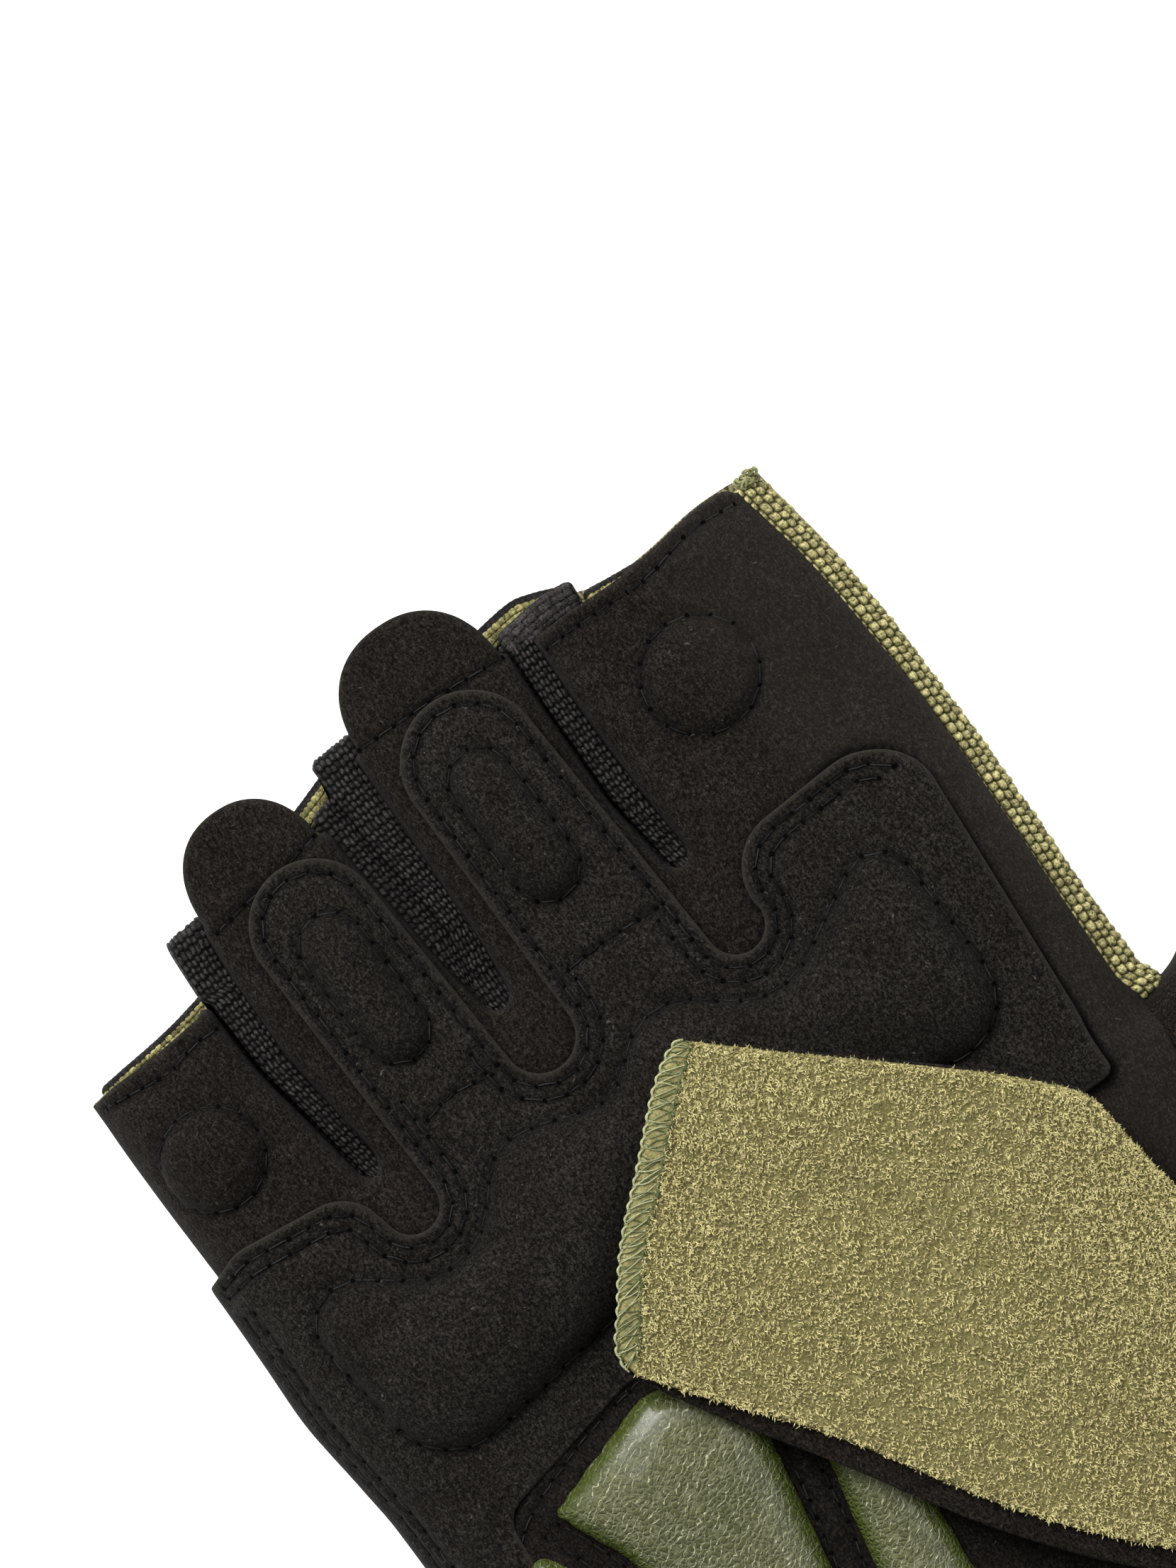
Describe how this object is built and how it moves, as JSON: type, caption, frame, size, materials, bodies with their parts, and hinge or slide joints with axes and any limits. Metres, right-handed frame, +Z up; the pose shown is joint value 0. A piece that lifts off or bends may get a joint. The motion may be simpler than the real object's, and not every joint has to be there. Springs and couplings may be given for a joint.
{
  "type": "sport glove",
  "caption": "Fingerless right-hand sport glove lying palm up, with suede palm and pads, knit back and fourchettes, leather heel pads and a wrist strap with a plush panel.",
  "frame": {"origin": "middle of the glove's box on the surface it lies on, under the palm", "axes": "+Y towards the finger openings, +X towards the thumb side, +Z up out of the palm"},
  "size_m": [0.13, 0.166, 0.0222],
  "materials": {
    "palm_suede": "black synthetic suede, matt, short nap",
    "overlay_suede": "black synthetic suede, matt, a little cooler than the palm",
    "black_knit": "black ribbed knit",
    "green_knit": "olive green ribbed knit in rows of beads",
    "green_leather": "olive green grained leather, soft gloss, padded",
    "green_plush": "olive green loop plush",
    "heel_cloth": "black cloth with double stitching"
  },
  "bodies": {
    "root": {"palm_panel": "palm_suede", "back_panel": "green_knit", "fourchette_ring_little": "black_knit", "fourchette_middle_ring": "black_knit", "fourchette_index_middle": "black_knit", "index_strip": "green_knit", "palm_overlay": "overlay_suede", "cuff_panel": "heel_cloth", "palm_pad": "overlay_suede", "middle_pad": "overlay_suede", "ring_pad": "overlay_suede", "index_pad": "palm_suede", "little_pad": "palm_suede", "cuff_pad_inner": "green_leather", "cuff_pad_middle": "green_leather", "cuff_pad_outer": "green_leather", "thumb_front": "palm_suede", "thumb_back": "green_knit", "strap_body": "palm_suede", "strap_plush": "green_plush", "wrist_binding": "heel_cloth"}
  },
  "joints": []
}
